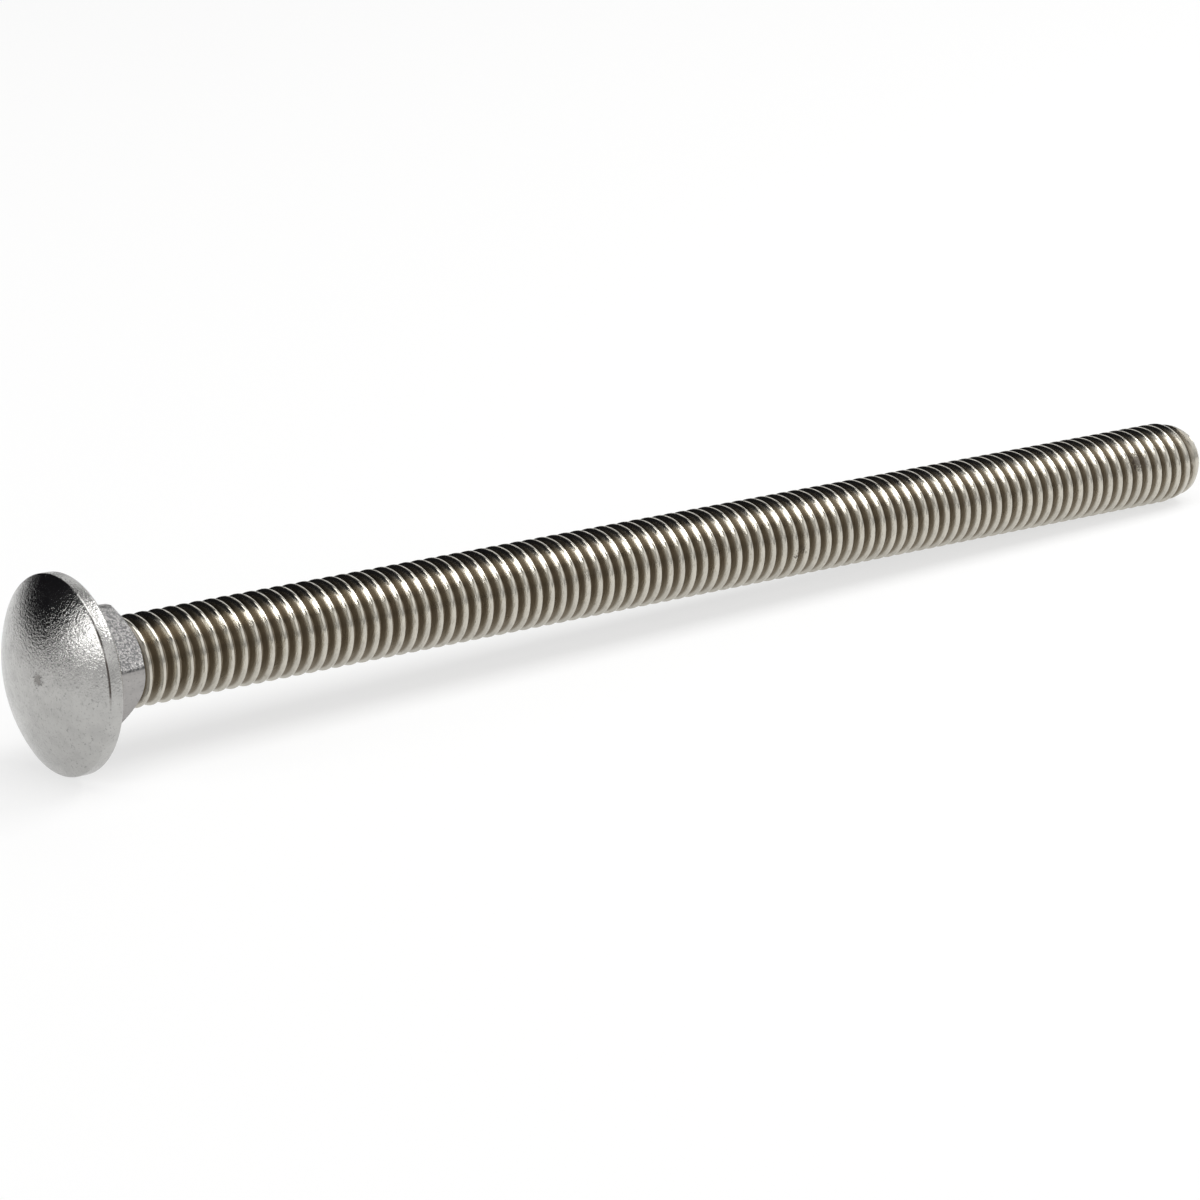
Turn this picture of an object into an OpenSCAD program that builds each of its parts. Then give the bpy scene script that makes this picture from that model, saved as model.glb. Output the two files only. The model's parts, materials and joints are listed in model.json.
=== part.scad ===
// Round-head square-neck carriage bolt, threaded up to the neck, lying at rest
// on the rim of its head and the end of its thread.

/* [Bolt] */
// Length from the bearing face under the head to the end of the point
bolt_len = 152.4; // [60:0.1:180]

/* [Head] */
// Diameter of the head
head_d = 20; // [18:0.1:24]
// Height of the whole head, from its bearing face to the top of the dome
head_h = 5; // [3.5:0.1:7]
// Height of the upright rim below the dome
rim_h = 1.6; // [1:0.1:2]
// Radius between the dome and the rim
dome_round = 0.3; // [0.1:0.05:0.5]
// Radius between the rim and the bearing face
rim_round = 0.5; // [0.1:0.05:0.5]

/* [Square neck] */
// Width of the square across its flats
neck_w = 9.4; // [9.3:0.05:10]
// Diameter over the rounded corners of the square, at the head
neck_corner_d = 12.5; // [12:0.1:13.2]
// Diameter over the corners where they start to taper
neck_end_d = 12; // [11.6:0.1:12]
// Depth of the square, from the bearing face to the end of its tapered corners
neck_len = 6.1; // [4.5:0.1:8]
// Length over which the corners taper down to the shank
neck_taper_len = 1.3; // [1:0.1:2.5]
// Turn of the square about the bolt's axis
neck_turn = 38; // [0:1:90]
// Radius of the fillet between the bearing face and the flats
neck_fillet = 0.5; // [0.2:0.1:0.8]

/* [Thread] */
// Diameter over the crests of the thread
thread_d = 9.25; // [9:0.05:9.3]
// Distance from one crest to the next, 16 threads to the inch
pitch = 1.5875; // [1.2:0.0125:2.1]
// Depth of the thread, from crest to root
thread_depth = 0.95; // [0.6:0.05:1.1]
// Width of the flat along the top of the crest
crest_w = 0.3; // [0.1:0.05:0.5]
// Turn of the thread about the bolt's axis
thread_turn = 34; // [0:1:360]

/* [Point] */
// Length over which the last crests taper before the chamfer
lead_len = 2.7; // [1:0.1:5]
// Diameter where the chamfer starts
lead_d = 8.1; // [7.6:0.1:8.6]
// Length of the chamfer
point_len = 1.2; // [0.6:0.1:2]
// Diameter of the flat end of the point
point_d = 6; // [5:0.1:7]

/* [Hidden] */

// Flat facets in one turn of the thread, fewer on a bolt with very many turns
most_thread_facets = 11400;
turns = (bolt_len - neck_len) / pitch + 2;
turn_facets = min(16, floor(most_thread_facets / (6 * turns)));

steel = [0.72, 0.71, 0.69];
smooth = 96;
smooth_small = 32;
over = 1;

// The head's round faces begin and end on one line, which is turned off the floor
seam_turn = 3.2;

head_r = head_d / 2;
thread_r = thread_d / 2;
root_r = thread_r - thread_depth;
corner_r = neck_corner_d / 2;
neck_end_r = neck_end_d / 2;
lead_r = lead_d / 2;
point_r = point_d / 2;

// Where the last full crest ends and the chamfer starts
lead_z = bolt_len - point_len - lead_len;
chamfer_z = bolt_len - point_len;

// The dome is a slice of one sphere that meets the rim's height at its edge
dome_h = head_h - rim_h;
dome_r = (head_r * head_r + dome_h * dome_h) / (2 * dome_h);
dome_z = dome_r - head_h;

// Centre of the dome's edge round, tangent inside the dome and inside the rim
dome_round_x = head_r - dome_round;
dome_round_z = dome_z - sqrt(pow(dome_r - dome_round, 2) - pow(dome_round_x, 2));
dome_edge_x = dome_round_x * dome_r / (dome_r - dome_round);
rim_round_x = head_r - rim_round;

// The bolt rests on the lower rim round and on the last full crest
rest_rise = rim_round_x - thread_r;
rest_run = lead_z + rim_round;
rest_tilt = atan2(rest_rise, rest_run) + asin(rim_round / norm([rest_rise, rest_run]));
rest_height = rim_round_x * cos(rest_tilt) - rim_round * sin(rest_tilt) + rim_round;
left_x = dome_z * cos(rest_tilt) - dome_r;
right_x = bolt_len * cos(rest_tilt) + point_r * sin(rest_tilt);

// Half of the head's outline, with its bearing face at zero and its dome below
module head_outline() {
    intersection() {
        translate([0, dome_z])
            circle(r = dome_r, $fn = smooth);
        translate([0, -head_h])
            square([dome_edge_x, head_h]);
    }
    translate([0, dome_round_z])
        square([head_r, -rim_round - dome_round_z]);
    translate([0, -rim_round])
        square([rim_round_x, rim_round]);
    translate([dome_round_x, dome_round_z])
        circle(r = dome_round, $fn = smooth_small);
    translate([rim_round_x, -rim_round])
        circle(r = rim_round, $fn = smooth_small);
}

module head() {
    color(steel)
        rotate([0, 0, seam_turn])
            rotate_extrude($fn = smooth)
                head_outline();
}

// Outline of one direction of the square, with the fillets that spread at the head
module neck_outline() {
    translate([-neck_w / 2, -over])
        square([neck_w, neck_len + over]);
    difference() {
        translate([-neck_w / 2 - neck_fillet, -over])
            square([neck_w + 2 * neck_fillet, neck_fillet + over]);
        for (side = [-1, 1])
            translate([side * (neck_w / 2 + neck_fillet), neck_fillet])
                circle(r = neck_fillet, $fn = smooth_small);
    }
}

module neck_slab() {
    translate([0, head_r, 0])
        rotate([90, 0, 0])
            linear_extrude(height = head_d)
                neck_outline();
}

// Forged square whose corners are rounded off and taper down to the shank
module neck() {
    color(steel)
        intersection() {
            rotate([0, 0, neck_turn])
                neck_slab();
            rotate([0, 0, neck_turn + 90])
                neck_slab();
            rotate_extrude($fn = smooth)
                polygon([
                    [0, -over],
                    [corner_r, -over],
                    [neck_end_r, neck_len - neck_taper_len],
                    [root_r, neck_len],
                    [0, neck_len]
                ]);
        }
}

// The thread is one skin wound along the helix. Each step round the helix has a
// root point and the two edges of the crest, and its far root is the next turn's.
thread_start = neck_len - pitch;
steps = ceil(turns) * turn_facets;
flank_w = (pitch - crest_w) / 2;
rise = [0, flank_w, flank_w + crest_w];
radius = [root_r, thread_r, thread_r];

function thread_point(step, edge) =
    let (turn_angle = 360 * step / turn_facets)
    [
        radius[edge] * cos(turn_angle),
        radius[edge] * sin(turn_angle),
        thread_start + pitch * step / turn_facets + rise[edge]
    ];

function corner(step, edge) = 3 * step + edge;

function strip(a, b, c, d) = [[a, c, b], [a, d, c]];

function skin(step) = concat(
    strip(corner(step, 0), corner(step + 1, 0), corner(step + 1, 1), corner(step, 1)),
    strip(corner(step, 1), corner(step + 1, 1), corner(step + 1, 2), corner(step, 2)),
    strip(corner(step, 2), corner(step + 1, 2),
        corner(step + 1 + turn_facets, 0), corner(step + turn_facets, 0))
);

module thread() {
    ring_points = [
        for (step = [0 : steps + turn_facets])
            for (edge = [0 : 2])
                thread_point(step, edge)
    ];
    low_hub = len(ring_points);
    high_hub = low_hub + 1;
    hub_points = [[0, 0, thread_start], [0, 0, thread_start + pitch * (steps / turn_facets + 1)]];
    skin_faces = [
        for (step = [0 : steps - 1])
            for (face = skin(step))
                face
    ];
    low_rim = concat(
        [for (step = [0 : turn_facets]) corner(step, 0)],
        [corner(0, 2), corner(0, 1)]
    );
    high_rim = concat(
        [for (step = [steps : steps + turn_facets]) corner(step, 0)],
        [corner(steps, 2), corner(steps, 1)]
    );
    low_faces = [
        for (i = [0 : len(low_rim) - 1])
            [low_hub, low_rim[i], low_rim[(i + 1) % len(low_rim)]]
    ];
    high_faces = [
        for (i = [0 : len(high_rim) - 1])
            [high_hub, high_rim[(i + 1) % len(high_rim)], high_rim[i]]
    ];
    color(steel)
        polyhedron(
            points = concat(ring_points, hub_points),
            faces = concat(skin_faces, low_faces, high_faces),
            convexity = 10
        );
}

// Everything past the end of the bolt and outside the taper of its point
module point_cut() {
    rotate_extrude($fn = smooth)
        polygon([
            [0, bolt_len],
            [point_r, bolt_len],
            [lead_r, chamfer_z],
            [thread_r, lead_z],
            [thread_r + over, lead_z],
            [thread_r + over, bolt_len + 3 * pitch],
            [0, bolt_len + 3 * pitch]
        ]);
}

module bolt() {
    translate([-(left_x + right_x) / 2, 0, rest_height])
        rotate([0, 90 + rest_tilt, 0]) {
            head();
            neck();
            difference() {
                rotate([0, 0, thread_turn])
                    thread();
                point_cut();
            }
        }
}

bolt();
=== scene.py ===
# Carriage bolt lying on a pale floor: its rolled thread, its worn steel, the light and the camera
import json
import math
import bpy
import bmesh
from mathutils import Matrix, Vector


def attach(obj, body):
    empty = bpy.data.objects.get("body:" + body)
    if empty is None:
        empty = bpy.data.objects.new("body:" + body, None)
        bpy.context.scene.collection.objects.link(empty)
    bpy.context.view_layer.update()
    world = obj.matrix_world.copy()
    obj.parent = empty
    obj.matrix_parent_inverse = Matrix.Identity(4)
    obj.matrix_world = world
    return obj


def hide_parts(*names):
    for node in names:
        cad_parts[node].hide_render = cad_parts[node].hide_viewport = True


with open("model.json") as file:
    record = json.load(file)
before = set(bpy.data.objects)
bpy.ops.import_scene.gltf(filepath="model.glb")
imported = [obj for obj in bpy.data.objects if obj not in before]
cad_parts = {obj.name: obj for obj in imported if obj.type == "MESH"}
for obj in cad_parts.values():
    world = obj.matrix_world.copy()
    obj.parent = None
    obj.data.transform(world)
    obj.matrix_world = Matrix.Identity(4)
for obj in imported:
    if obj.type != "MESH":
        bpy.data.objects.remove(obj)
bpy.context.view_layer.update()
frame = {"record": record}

mm = 0.001
recordMounts = {mount["name"]: mount for mount in frame["record"]["mounts"]}

# The bolt, in millimetres and degrees, upright with its bearing face at zero and its dome below
boltForm = {
    "length": 152.4,
    "headDiameter": 20.0,
    "headHeight": 5.0,
    "rimHeight": 1.6,
    "domeRound": 0.3,
    "rimRound": 0.5,
    "neckWidth": 9.4,
    "neckCorner": 12.5,
    "neckCornerEnd": 12.0,
    "neckLength": 6.1,
    "neckTaper": 1.3,
    "neckFillet": 0.5,
    "neckTurn": 38,
    "neckEdgeSoftness": 0.05,
    "threadDiameter": 9.25,
    "threadDepth": 0.95,
    "pitch": 1.5875,
    "crestWidth": 0.26,
    "flankAngle": 30,
    "threadTurn": 34,
    "leadLength": 2.7,
    "leadDiameter": 8.1,
    "pointLength": 1.2,
    "pointDiameter": 6.0,
}
# How finely the mesh is divided, in steps
boltSteps = {
    "threadTurn": 60,         # round one turn of the thread
    "headTurn": 240,          # round the head and the neck
    "dome": 40,
    "domeEdge": 6,
    "rim": 8,
    "fillet": 6,
    "flats": 8,
    "taper": 14,
}
faceRings = (8.6, 7.15, 6.65)     # radii of the rings across the bearing face
sharpAngle = 28                   # edges that bend by more than this stay crisp


def arc(centreX, centreZ, radius, fromAngle, toAngle, steps):
    # Points on an arc, with angles in degrees from +X towards +Z
    points = []
    for i in range(steps + 1):
        angle = math.radians(fromAngle + (toAngle - fromAngle) * i / steps)
        points.append((centreX + radius * math.cos(angle), centreZ + radius * math.sin(angle)))
    return points


def spinOutline(outline, steps):
    # Turns a half outline once round Z and closes it
    bm = bmesh.new()
    verts = [bm.verts.new((x, 0, z)) for x, z in outline]
    edges = [bm.edges.new(pair) for pair in zip(verts, verts[1:])]
    bmesh.ops.spin(bm, geom=verts + edges, cent=(0, 0, 0), axis=(0, 0, 1), dvec=(0, 0, 0),
                   angle=math.tau, steps=steps, use_merge=True)
    bmesh.ops.remove_doubles(bm, verts=bm.verts, dist=1e-5)
    bmesh.ops.recalc_face_normals(bm, faces=bm.faces)
    return bm


def makeHeadAndNeck():
    f, steps = boltForm, boltSteps
    headR = f["headDiameter"] / 2
    domeH = f["headHeight"] - f["rimHeight"]
    domeR = (headR ** 2 + domeH ** 2) / (2 * domeH)
    domeZ = domeR - f["headHeight"]
    roundX = headR - f["domeRound"]
    roundZ = domeZ - math.sqrt((domeR - f["domeRound"]) ** 2 - roundX ** 2)
    edgeAngle = math.degrees(math.atan2(roundZ - domeZ, roundX))
    cornerR = f["neckCorner"] / 2
    endR = f["neckCornerEnd"] / 2
    rootR = f["threadDiameter"] / 2 - f["threadDepth"]
    taperZ = f["neckLength"] - f["neckTaper"]
    fillet = f["neckFillet"]

    outline = arc(0, domeZ, domeR, -90, edgeAngle, steps["dome"])
    outline += arc(roundX, roundZ, f["domeRound"], edgeAngle, 0, steps["domeEdge"])[1:]
    outline += arc(headR - f["rimRound"], -f["rimRound"], f["rimRound"], 0, 90, steps["rim"])
    outline += [(ring, 0) for ring in faceRings]

    # Up the corners of the square, close together in the fillet, then in along the taper
    heights = []
    for i in range(steps["fillet"] + 1):
        heights.append(fillet * (1 - math.cos(math.pi / 2 * i / steps["fillet"])))
    for i in range(1, steps["flats"] + 1):
        heights.append(fillet + (taperZ - fillet) * i / steps["flats"])
    outline += [(cornerR + (endR - cornerR) * z / taperZ, z) for z in heights]
    for i in range(1, steps["taper"] + 1):
        t = i / steps["taper"]
        outline.append((endR + (rootR - endR) * t, taperZ + f["neckTaper"] * t))
    outline.append((0, f["neckLength"]))
    bm = spinOutline(outline, steps["headTurn"])

    # The flats are pressed into the turned neck, and spread into the fillet at the head
    for v in bm.verts:
        r = math.hypot(v.co.x, v.co.y)
        if v.co.z < -1e-4 or r > cornerR + 0.01 or r < 1e-3:
            continue      # on the head or on the axis
        a = math.atan2(v.co.y, v.co.x) - math.radians(f["neckTurn"])
        drop = max(0.0, fillet - v.co.z)
        spread = fillet - math.sqrt(max(0.0, fillet ** 2 - drop ** 2))
        flat = (f["neckWidth"] / 2 + spread) / max(abs(math.cos(a)), abs(math.sin(a)))
        k = f["neckEdgeSoftness"]
        soft = min(r, flat) - k * math.log(1 + math.exp(-abs(r - flat) / k))
        v.co.x *= soft / r
        v.co.y *= soft / r
    print("head and neck:", len(bm.faces), "faces")
    return bm


def threadOutline():
    # One pitch of the thread, from a root over the rounded crest to the next root
    f = boltForm
    rootR = f["threadDiameter"] / 2 - f["threadDepth"]
    half = f["pitch"] / 2
    crest = f["crestWidth"] / 2
    flankRun = f["threadDepth"] * math.tan(math.radians(f["flankAngle"]))
    root = half - crest - flankRun
    # Places along the first half, each with its height as a share of the thread's depth
    places = [
        (0, 0),
        (root * 0.8, 0.015),
        (root + 0.06, 0.11),
        (root + flankRun * 0.4, 0.4),
        (root + flankRun * 0.8, 0.8),
        (half - crest - 0.015, 0.965),
        (half - crest * 0.45, 0.997),
    ]
    left = [(z, rootR + f["threadDepth"] * h) for z, h in places]
    right = [(f["pitch"] - z, r) for z, r in reversed(left)]
    return [(r, z) for z, r in left + right]


def everything(bm):
    return bm.verts[:] + bm.edges[:] + bm.faces[:]


def makeThread():
    # One turn is spun, then copied and stacked until the thread is long enough
    f = boltForm
    startZ = f["neckLength"] - f["pitch"]
    turns = math.ceil((f["length"] - startZ) / f["pitch"]) + 1
    bm = bmesh.new()
    verts = [bm.verts.new((r, 0, startZ + z)) for r, z in threadOutline()]
    edges = [bm.edges.new(pair) for pair in zip(verts, verts[1:])]
    bmesh.ops.spin(bm, geom=verts + edges, cent=(0, 0, 0), axis=(0, 0, 1),
                   dvec=(0, 0, f["pitch"] / boltSteps["threadTurn"]), angle=math.tau,
                   steps=boltSteps["threadTurn"], use_merge=False)
    made = 1
    while made < turns:
        copy = bmesh.ops.duplicate(bm, geom=everything(bm))
        copied = [part for part in copy["geom"] if isinstance(part, bmesh.types.BMVert)]
        bmesh.ops.translate(bm, verts=copied, vec=(0, 0, f["pitch"] * made))
        made *= 2
    bmesh.ops.bisect_plane(bm, geom=everything(bm), dist=1e-5, clear_outer=True,
                           plane_co=(0, 0, f["length"] + f["pitch"]), plane_no=(0, 0, 1))
    bmesh.ops.remove_doubles(bm, verts=bm.verts, dist=1e-4)
    bmesh.ops.rotate(bm, verts=bm.verts, cent=(0, 0, 0),
                     matrix=Matrix.Rotation(math.radians(f["threadTurn"]), 3, "Z"))

    # The last crests taper into the chamfer of the point
    chamferZ = f["length"] - f["pointLength"]
    leadZ = chamferZ - f["leadLength"]
    crestR, leadR, pointR = (f[n] / 2 for n in ("threadDiameter", "leadDiameter", "pointDiameter"))
    for v in bm.verts:
        if v.co.z < leadZ:
            continue
        if v.co.z < chamferZ:
            limit = crestR + (leadR - crestR) * (v.co.z - leadZ) / f["leadLength"]
        else:
            limit = leadR + (pointR - leadR) * (v.co.z - chamferZ) / f["pointLength"]
            limit = max(limit, 0.5)       # what lies past the end is cut off below
        r = math.hypot(v.co.x, v.co.y)
        if r > limit:
            v.co.x *= limit / r
            v.co.y *= limit / r
    bmesh.ops.bisect_plane(bm, geom=everything(bm), dist=1e-5, clear_outer=True,
                           plane_co=(0, 0, f["length"]), plane_no=(0, 0, 1))
    bmesh.ops.holes_fill(bm, edges=[e for e in bm.edges if e.is_boundary], sides=0)
    bmesh.ops.recalc_face_normals(bm, faces=bm.faces)
    print("thread:", len(bm.faces), "faces")
    return bm


def toObject(bm, name):
    mesh = bpy.data.meshes.new(name)
    bm.to_mesh(mesh)
    bm.free()
    piece = bpy.data.objects.new(name, mesh)
    bpy.context.scene.collection.objects.link(piece)
    return piece


def boltPlace():
    # From the upright bolt in millimetres to where the record says that it lies
    axis = Vector(recordMounts["thread"]["axis"]).normalized()
    middle = Vector(recordMounts["thread"]["pos_m"])
    threadMiddle = (boltForm["neckLength"] + boltForm["length"]) / 2 * mm
    bearing = middle - axis * threadMiddle
    down = Vector((axis.z, 0, -axis.x))
    turn = Matrix((down, axis.cross(down), axis)).transposed().to_4x4()
    return Matrix.Translation(bearing) @ turn @ Matrix.Scale(mm, 4)


def makeBolt():
    bolt = toObject(makeHeadAndNeck(), "bolt_forging")
    thread = toObject(makeThread(), "bolt_thread")
    join = bolt.modifiers.new("thread", "BOOLEAN")
    join.operation = "UNION"
    join.solver = "MANIFOLD"
    join.object = thread
    bpy.context.view_layer.update()
    view = bpy.context.evaluated_depsgraph_get()
    joined = bpy.data.meshes.new_from_object(bolt.evaluated_get(view))
    bolt.modifiers.clear()
    bolt.data = joined
    bpy.data.objects.remove(thread)
    joined.transform(boltPlace())
    joined.shade_smooth()
    joined.set_sharp_from_angle(angle=math.radians(sharpAngle))
    print("bolt, joined:", len(joined.polygons), "faces")
    return bolt


# Bare stainless steel, with colours in linear light and sizes in millimetres
steelFinish = {
    "domeColor": (0.47, 0.465, 0.45, 1),
    "neckColor": (0.42, 0.405, 0.395, 1),
    "scaleColor": (0.1, 0.1, 0.1, 1),
    "crestColor": (0.6, 0.57, 0.5, 1),
    # painted shade in the grooves and on the flanks, with some dirt in the roots; also the colour of the
    # streaks round the thread
    "grooveShadeAndStreakColor": (0.23, 0.197, 0.15, 1),
    # colour of the nicks, also used for the painted shade along the rim's crease
    "grainColor": (0.16, 0.16, 0.16, 1),
    "nickAndCreaseShadeColor": (0.07, 0.055, 0.045, 1),
    "domeRoughness": 0.16,
    "neckRoughness": 0.34,
    "crestRoughness": 0.13,
    "grooveRoughness": 0.3,
    "mottleRoughness": 0.18,      # how far the mottling changes the roughness
    "nickRoughness": 0.2,         # what a nick adds to it
    "domeGrain": 0.55,            # how strongly the grain darkens each part
    "neckGrain": 0.7,
    "threadGrain": 0.1,
    "mottleStrength": 0.16,
    "streakStrength": 0.35,
    "streakStretch": (0.28, 0.28, 2.2),
    "scaleWorn": 0.35,            # the share of the scale left where the grain is coarse
    "domeBump": 0.055,
    "threadBump": 0.022,
    "creaseTurn": 24,             # middle of the painted shade along the rim, up from the near side
    "creaseReach": (0.86, 0.95),  # how far round the painted shade reaches, as shares of the head's radius
    "creaseDrop": 0.02,           # how far it lies beyond the rim, on the dome
    "nickRagged": 2.4,
    "nickEdge": (0.35, 0.8),      # shares of a nick's size between which it fades
}
# Noise of each pattern, with its size in millimetres
grainNoise = {"size": 0.25, "detail": 2.5, "roughness": 0.65}
mottleNoise = {"size": 1.6, "detail": 3.0, "roughness": 0.6}
streakNoise = {"size": 0.2, "detail": 3.0, "roughness": 0.65}
# Levels of a noise between which its marks fade in
noiseLevels = {
    "grain": (0.56, 0.72),
    "mottle": (0.35, 0.7),
    "streak": (0.52, 0.7),
    "scale": (0.4, 0.66),
    "crease": (0.3, 0.55),
}
# Millimetres over which one finish gives way to the next
fades = {
    "thread": (0.5, 0.1),         # before the end of the neck
    "neck": (0.0, 0.3),           # past the bearing face
    "point": (1.4, 0.2),          # before the chamfer
    "groove": (0.46, 0.16),       # below the crests
    "scale": (0.25, 0.1),         # inside the flat
    "headEdge": (0.4, 0.2),       # inside the edge of the head
    "crease": (0.03, 0.12),       # to each side of the painted shade line
}
# Nicks: how far along from the bearing face, the turn above the near side, and the reach
nicks = [
    {"along": 89.5, "turn": -12, "size": 1.0, "strength": 0.8},
    {"along": 141.0, "turn": 27, "size": 1.6, "strength": 0.7},
    {"along": 78.0, "turn": 24, "size": 0.9, "strength": 0.5},
    {"along": 60.5, "turn": 20, "size": 0.8, "strength": 0.4},
]
scuff = {"place": (-0.7, -2.1, -4.85), "size": 0.9, "strength": 0.5}


class Wiring:
    # Short ways to add and join the nodes of one material
    def __init__(self, tree):
        self.nodes, self.links = tree.nodes, tree.links

    def add(self, kind, inputs=(), **settings):
        node = self.nodes.new(kind)
        for name, value in settings.items():
            setattr(node, name, value)
        for socket, value in dict(inputs).items():
            if isinstance(value, bpy.types.NodeSocket):
                self.links.new(value, node.inputs[socket])
            else:
                node.inputs[socket].default_value = value
        return node

    def math(self, operation, first, second=0.0, clamp=False):
        node = self.add("ShaderNodeMath", {0: first, 1: second}, operation=operation, use_clamp=clamp)
        return node.outputs[0]

    def times(self, first, *others):
        for other in others:
            first = self.math("MULTIPLY", first, other)
        return first

    def measure(self, operation, first, second=(0, 0, 0)):
        node = self.add("ShaderNodeVectorMath", {0: first, 1: second}, operation=operation)
        return node.outputs["Value"]

    def ramp(self, value, low, high, toLow=0.0, toHigh=1.0):
        ends = {"Value": value, "From Min": low, "From Max": high, "To Min": toLow, "To Max": toHigh}
        return self.add("ShaderNodeMapRange", ends, interpolation_type="SMOOTHSTEP").outputs["Result"]

    def noise(self, vector, size, detail, roughness):
        node = self.add("ShaderNodeTexNoise", {"Vector": vector, "Scale": 1 / size, "Detail": detail,
                                               "Roughness": roughness})
        return node.outputs["Fac"]

    def mixColor(self, factor, first, second):
        node = self.add("ShaderNodeMix", {0: factor, 6: first, 7: second}, data_type="RGBA")
        return node.outputs[2]

    def mixValue(self, factor, first, second):
        node = self.add("ShaderNodeMix", {0: factor, 2: first, 3: second}, data_type="FLOAT")
        return node.outputs[0]


def wayUp(turn):
    # The way across the bolt, with turn in degrees up from the side that faces the camera
    angle = math.radians(turn)
    return Vector((-math.sin(angle), -math.cos(angle), 0))


def markPlaces():
    # Where the nicks lie on the crests, and the scuff on the dome
    marks = []
    for nick in nicks:
        place = wayUp(nick["turn"]) * boltForm["threadDiameter"] / 2
        place.z = nick["along"]
        marks.append((place, nick["size"], nick["strength"]))
    marks.append((scuff["place"], scuff["size"], scuff["strength"]))
    return marks


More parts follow.
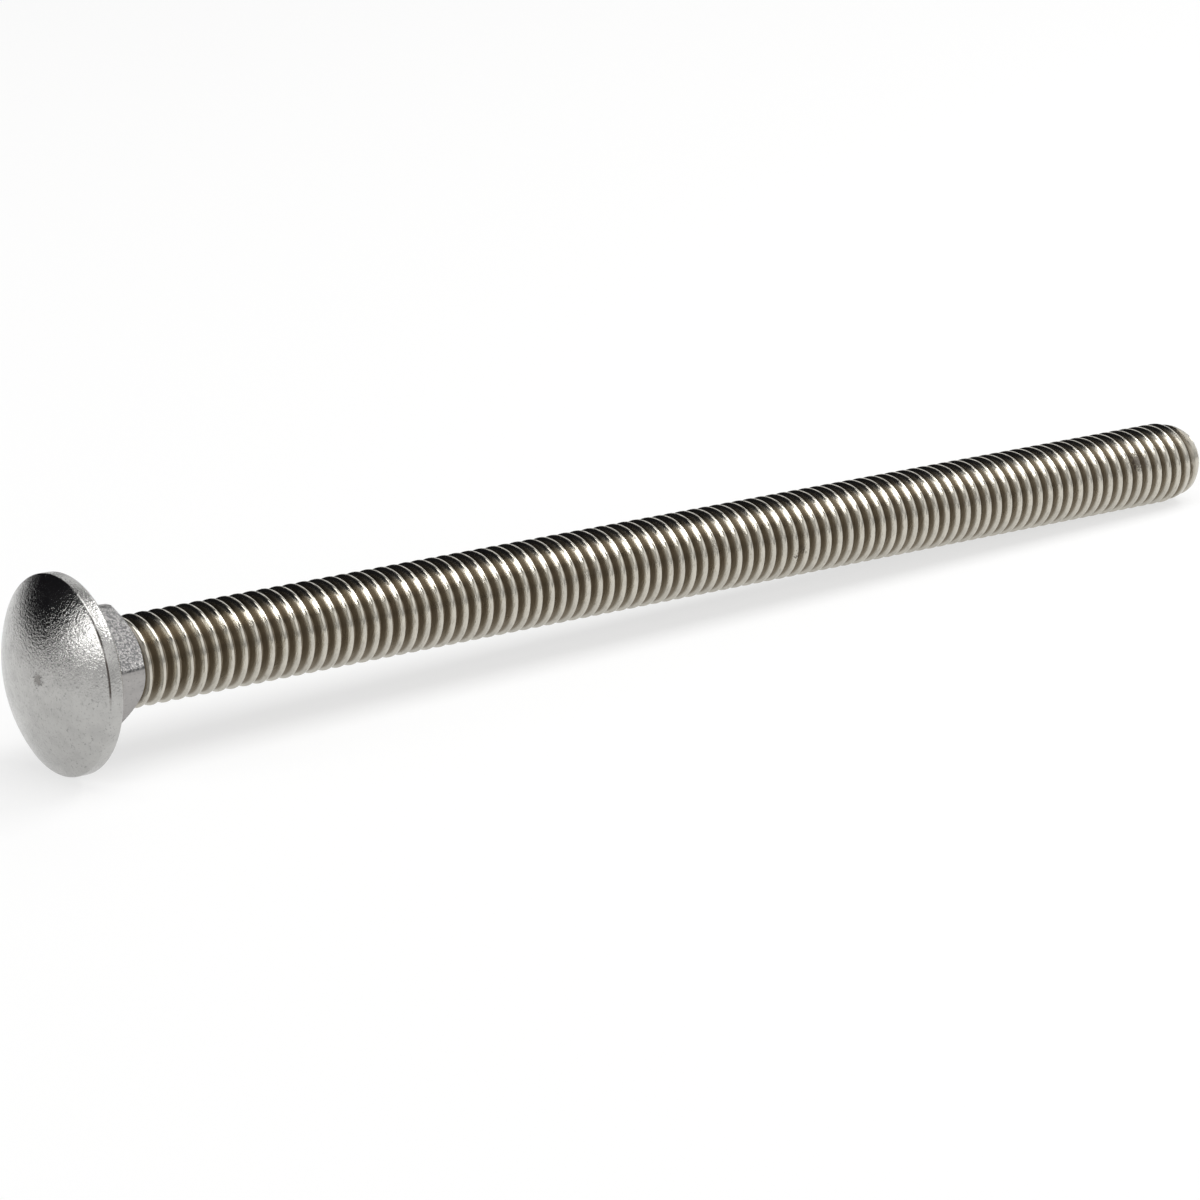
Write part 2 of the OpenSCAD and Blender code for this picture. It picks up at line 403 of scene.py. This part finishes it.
def steelMaterial():
    f, s = boltForm, steelFinish
    mat = bpy.data.materials.new("bare steel")
    mat.use_nodes = True
    shader = mat.node_tree.nodes["Principled BSDF"]
    w = Wiring(mat.node_tree)
    place, turn, scale = boltPlace().inverted().decompose()
    coords = w.add("ShaderNodeTexCoord").outputs["Object"]
    upright = w.add("ShaderNodeMapping", {"Vector": coords, "Location": place,
                                          "Rotation": turn.to_euler(), "Scale": scale}).outputs[0]
    split = w.add("ShaderNodeSeparateXYZ", {0: upright}).outputs
    along = split["Z"]
    across = w.add("ShaderNodeCombineXYZ", {"X": split["X"], "Y": split["Y"], "Z": 0.0}).outputs[0]
    radius = w.measure("LENGTH", across)

    # A ramp over one of the fades, which may count back from a line
    def fade(value, name, line=0.0, back=True, toLow=0.0, toHigh=1.0):
        low, high = (line - width if back else line + width for width in fades[name])
        return w.ramp(value, low, high, toLow, toHigh)

    # Where the thread, its grooves and the neck are
    chamferZ = f["length"] - f["pointLength"]
    onThread = fade(along, "thread", f["neckLength"])
    onNeck = w.times(fade(along, "neck", back=False), w.math("SUBTRACT", 1.0, onThread))
    beforePoint = fade(along, "point", chamferZ, toLow=1.0, toHigh=0.0)
    # Painted shade: below the crests the grooves and flanks take a darker brown colour, which stands for
    # their shade together with some dirt in the roots
    inGroove = w.times(onThread, beforePoint,
                       fade(radius, "groove", f["threadDiameter"] / 2, toLow=1.0, toHigh=0.0))

    # Dark forging scale stays on one flat of the square
    towardsFlat = w.measure("DOT_PRODUCT", across, wayUp(90 - f["neckTurn"]))
    onScale = w.times(onNeck, fade(towardsFlat, "scale", f["neckWidth"] / 2))

    # Painted shade: a dark line is painted on a stretch of the line where the dome meets the rim, on the
    # near side
    headR = f["headDiameter"] / 2
    fromCrease = w.math("ABSOLUTE", w.math("ADD", along, f["rimHeight"] + s["creaseDrop"]))
    towardsCreaseShade = w.measure("DOT_PRODUCT", across, wayUp(s["creaseTurn"]))
    atCreaseShade = w.ramp(towardsCreaseShade, *(headR * share for share in s["creaseReach"]))
    inCreaseShade = w.times(fade(radius, "headEdge", headR), atCreaseShade,
                       fade(fromCrease, "crease", back=False, toLow=1.0, toHigh=0.0))

    # Peened grain, broad mottling, and streaks that run round the thread
    grain = w.noise(upright, **grainNoise)
    mottle = w.noise(upright, **mottleNoise)
    stretched = w.add("ShaderNodeVectorMath", {0: upright, 1: s["streakStretch"]}, operation="MULTIPLY")
    streak = w.noise(stretched.outputs[0], **streakNoise)

    scaleMark = w.times(onScale, w.ramp(grain, *noiseLevels["scale"], 1.0, s["scaleWorn"]))
    # painted shade along the rim's crease, broken up by the mottling
    creaseShadeMark = w.times(inCreaseShade, w.ramp(mottle, *noiseLevels["crease"]))
    grainHere = w.mixValue(onThread, w.mixValue(onNeck, s["domeGrain"], s["neckGrain"]), s["threadGrain"])
    grainMark = w.times(w.ramp(grain, *noiseLevels["grain"]), grainHere)
    mottleMark = w.times(w.ramp(mottle, *noiseLevels["mottle"]), s["mottleStrength"])
    streakMark = w.times(w.ramp(streak, *noiseLevels["streak"]), onThread, s["streakStrength"])

    color = w.mixColor(onNeck, s["domeColor"], s["neckColor"])
    color = w.mixColor(scaleMark, color, s["scaleColor"])
    # the painted shade of the crease goes on in the nick colour
    color = w.mixColor(creaseShadeMark, color, s["nickAndCreaseShadeColor"])
    color = w.mixColor(onThread, color, s["crestColor"])
    color = w.mixColor(grainMark, color, s["grainColor"])
    color = w.mixColor(mottleMark, color, s["grainColor"])
    color = w.mixColor(streakMark, color, s["grooveShadeAndStreakColor"])
    # the painted shade of the grooves goes on here
    color = w.mixColor(inGroove, color, s["grooveShadeAndStreakColor"])

    roughness = w.mixValue(onNeck, s["domeRoughness"], s["neckRoughness"])
    roughness = w.mixValue(onThread, roughness, s["crestRoughness"])
    roughness = w.mixValue(inGroove, roughness, s["grooveRoughness"])
    patchy = w.times(w.math("SUBTRACT", mottle, 0.5), s["mottleRoughness"])
    roughness = w.math("ADD", roughness, patchy)

    # Nicks and the scuff are dark, rough and a little sunk, with edges that the grain makes ragged
    dents = 0.0
    for at, size, strength in markPlaces():
        uneven = w.times(w.math("SUBTRACT", grain, 0.5), size * s["nickRagged"])
        away = w.math("ADD", w.measure("DISTANCE", upright, at), uneven)
        mark = w.ramp(away, *(size * share for share in s["nickEdge"]), strength, 0.0)
        color = w.mixColor(mark, color, s["nickAndCreaseShadeColor"])
        dents = w.math("ADD", dents, mark)
    roughness = w.math("ADD", roughness, w.times(dents, s["nickRoughness"]), clamp=True)

    height = w.math("SUBTRACT", w.mixValue(onThread, grain, streak), dents)
    depth = w.mixValue(onThread, s["domeBump"], s["threadBump"])
    bump = w.add("ShaderNodeBump", {"Strength": 1.0, "Distance": mm, "Height": w.times(height, depth)})
    w.links.new(bump.outputs[0], shader.inputs["Normal"])
    w.links.new(color, shader.inputs["Base Color"])
    w.links.new(roughness, shader.inputs["Roughness"])
    shader.inputs["Metallic"].default_value = 1
    print("finish:", mat.name + ",", len(nicks), "nicks and a scuff")
    return mat


bolt = makeBolt()
bolt.data.materials.clear()
bolt.data.materials.append(steelMaterial())
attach(bolt, "root")
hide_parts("bolt")

# Floor and room, in metres, with light as a share of white
studio = {
    "floorSize": 6.0,
    "floorColor": (0.95, 0.95, 0.945, 1),
    "floorRoughness": 0.9,
    "floorSpecular": 0.1,
    "floorGlow": 0.65,
    "horizon": 0.5,
    "upperWall": 1.1,
    "wallRise": (0.1, 0.4),           # height of the way seen, from 0 at the horizon to 1 overhead
    "ceiling": 0.12,
    "ceilingRise": (0.55, 0.8),
    "darkWall": (0.012, 0.012, 0.014, 1),
    "darkWallTowards": (114, 18),     # azimuth from +X and elevation
    "darkWallReach": (44, 55),        # degrees from there at which it starts and stops fading
}
# Each lamp: the way to it as azimuth from +X and elevation, its distance, width, height and brightness
lamps = {
    "softbox": {"towards": (-9, 47), "away": 0.9, "size": (0.5, 0.2), "bright": 8.0},
    "left_window": {"towards": (180, 24), "away": 0.9, "size": (0.32, 0.24), "bright": 4.0},
    "overhead": {"towards": (-90, 82), "away": 1.2, "size": (1.1, 0.9), "bright": 2.4},
    "kicker": {"towards": (156, 11), "away": 0.8, "size": (0.05, 0.07), "bright": 9.0},
}


def wayTo(azimuth, elevation):
    a, e = math.radians(azimuth), math.radians(elevation)
    return Vector((math.cos(a) * math.cos(e), math.sin(a) * math.cos(e), math.sin(e)))


def makeFloor():
    bm = bmesh.new()
    bmesh.ops.create_grid(bm, x_segments=1, y_segments=1, size=studio["floorSize"] / 2)
    floor = toObject(bm, "floor")
    mat = bpy.data.materials.new("pale floor")
    mat.use_nodes = True
    w = Wiring(mat.node_tree)
    shader = mat.node_tree.nodes["Principled BSDF"]
    output = mat.node_tree.nodes["Material Output"]
    shader.inputs["Base Color"].default_value = studio["floorColor"]
    shader.inputs["Roughness"].default_value = studio["floorRoughness"]
    shader.inputs["Specular IOR Level"].default_value = studio["floorSpecular"]
    # The floor shows nearly white to the eye and in reflections, and keeps the shadow
    path = w.add("ShaderNodeLightPath").outputs
    mirrored = w.math("MAXIMUM", path["Is Glossy Ray"], path["Is Transmission Ray"])
    seen = w.math("MAXIMUM", path["Is Camera Ray"], mirrored)
    white = w.add("ShaderNodeEmission", {"Color": (1, 1, 1, 1), "Strength": 1.0}).outputs[0]
    both = w.add("ShaderNodeMixShader", {0: w.times(seen, studio["floorGlow"]),
                                         1: shader.outputs[0], 2: white})
    w.links.new(both.outputs[0], output.inputs["Surface"])
    floor.data.materials.append(mat)
    print("floor:", studio["floorSize"], "m wide")


def makeWorld():
    # A pale room with a darker ceiling and one dark wall behind the bolt
    world = bpy.data.worlds.new("studio")
    bpy.context.scene.world = world
    world.use_nodes = True
    w = Wiring(world.node_tree)
    way = w.add("ShaderNodeTexCoord").outputs["Generated"]
    rise = w.add("ShaderNodeSeparateXYZ", {0: way}).outputs["Z"]
    walls = w.ramp(rise, *studio["wallRise"], studio["horizon"], studio["upperWall"])
    room = w.mixValue(w.ramp(rise, *studio["ceilingRise"]), walls, studio["ceiling"])
    facing = w.measure("DOT_PRODUCT", way, wayTo(*studio["darkWallTowards"]))
    near, far = (math.cos(math.radians(angle)) for angle in studio["darkWallReach"])
    color = w.mixColor(w.ramp(facing, far, near), room, studio["darkWall"])
    w.links.new(color, world.node_tree.nodes["Background"].inputs["Color"])
    print("room:", world.name)


def addLamp(name, form):
    width, height = form["size"]
    data = bpy.data.lights.new(name, "AREA")
    data.shape = "RECTANGLE"
    data.size, data.size_y = width, height
    data.energy = form["bright"] * math.pi * width * height
    lamp = bpy.data.objects.new(name, data)
    way = wayTo(*form["towards"])
    lamp.location = way * form["away"]
    lamp.rotation_euler = way.to_track_quat("Z", "Y").to_euler()
    bpy.context.scene.collection.objects.link(lamp)
    print("lamp:", name)


makeFloor()
makeWorld()
for lampName, lampForm in lamps.items():
    addLamp(lampName, lampForm)

# Camera at the photograph's angle, in metres and degrees, with its lens in millimetres
cameraForm = {
    "aim": (-0.008445, 0, 0.004326),
    "azimuth": -38.218,
    "elevation": 17.914,
    "distance": 0.460314,
    "lens": 130.32,
    "sensor": 36,
    "nearest": 0.01,
    "farthest": 20,
}


def makeCamera():
    c = cameraForm
    a, e = math.radians(c["azimuth"]), math.radians(c["elevation"])
    back = Vector((math.sin(a) * math.cos(e), -math.cos(a) * math.cos(e), math.sin(e)))
    data = bpy.data.cameras.new("camera")
    data.lens = c["lens"]
    data.sensor_width = c["sensor"]
    data.clip_start, data.clip_end = c["nearest"], c["farthest"]
    camera = bpy.data.objects.new("camera", data)
    camera.location = Vector(c["aim"]) + back * c["distance"]
    camera.rotation_euler = (-back).to_track_quat("-Z", "Y").to_euler()
    bpy.context.scene.collection.objects.link(camera)
    bpy.context.scene.camera = camera
    print("camera:", c["lens"], "mm lens,", c["distance"], "m away")


makeCamera()
bpy.context.scene.view_settings.view_transform = "Standard"
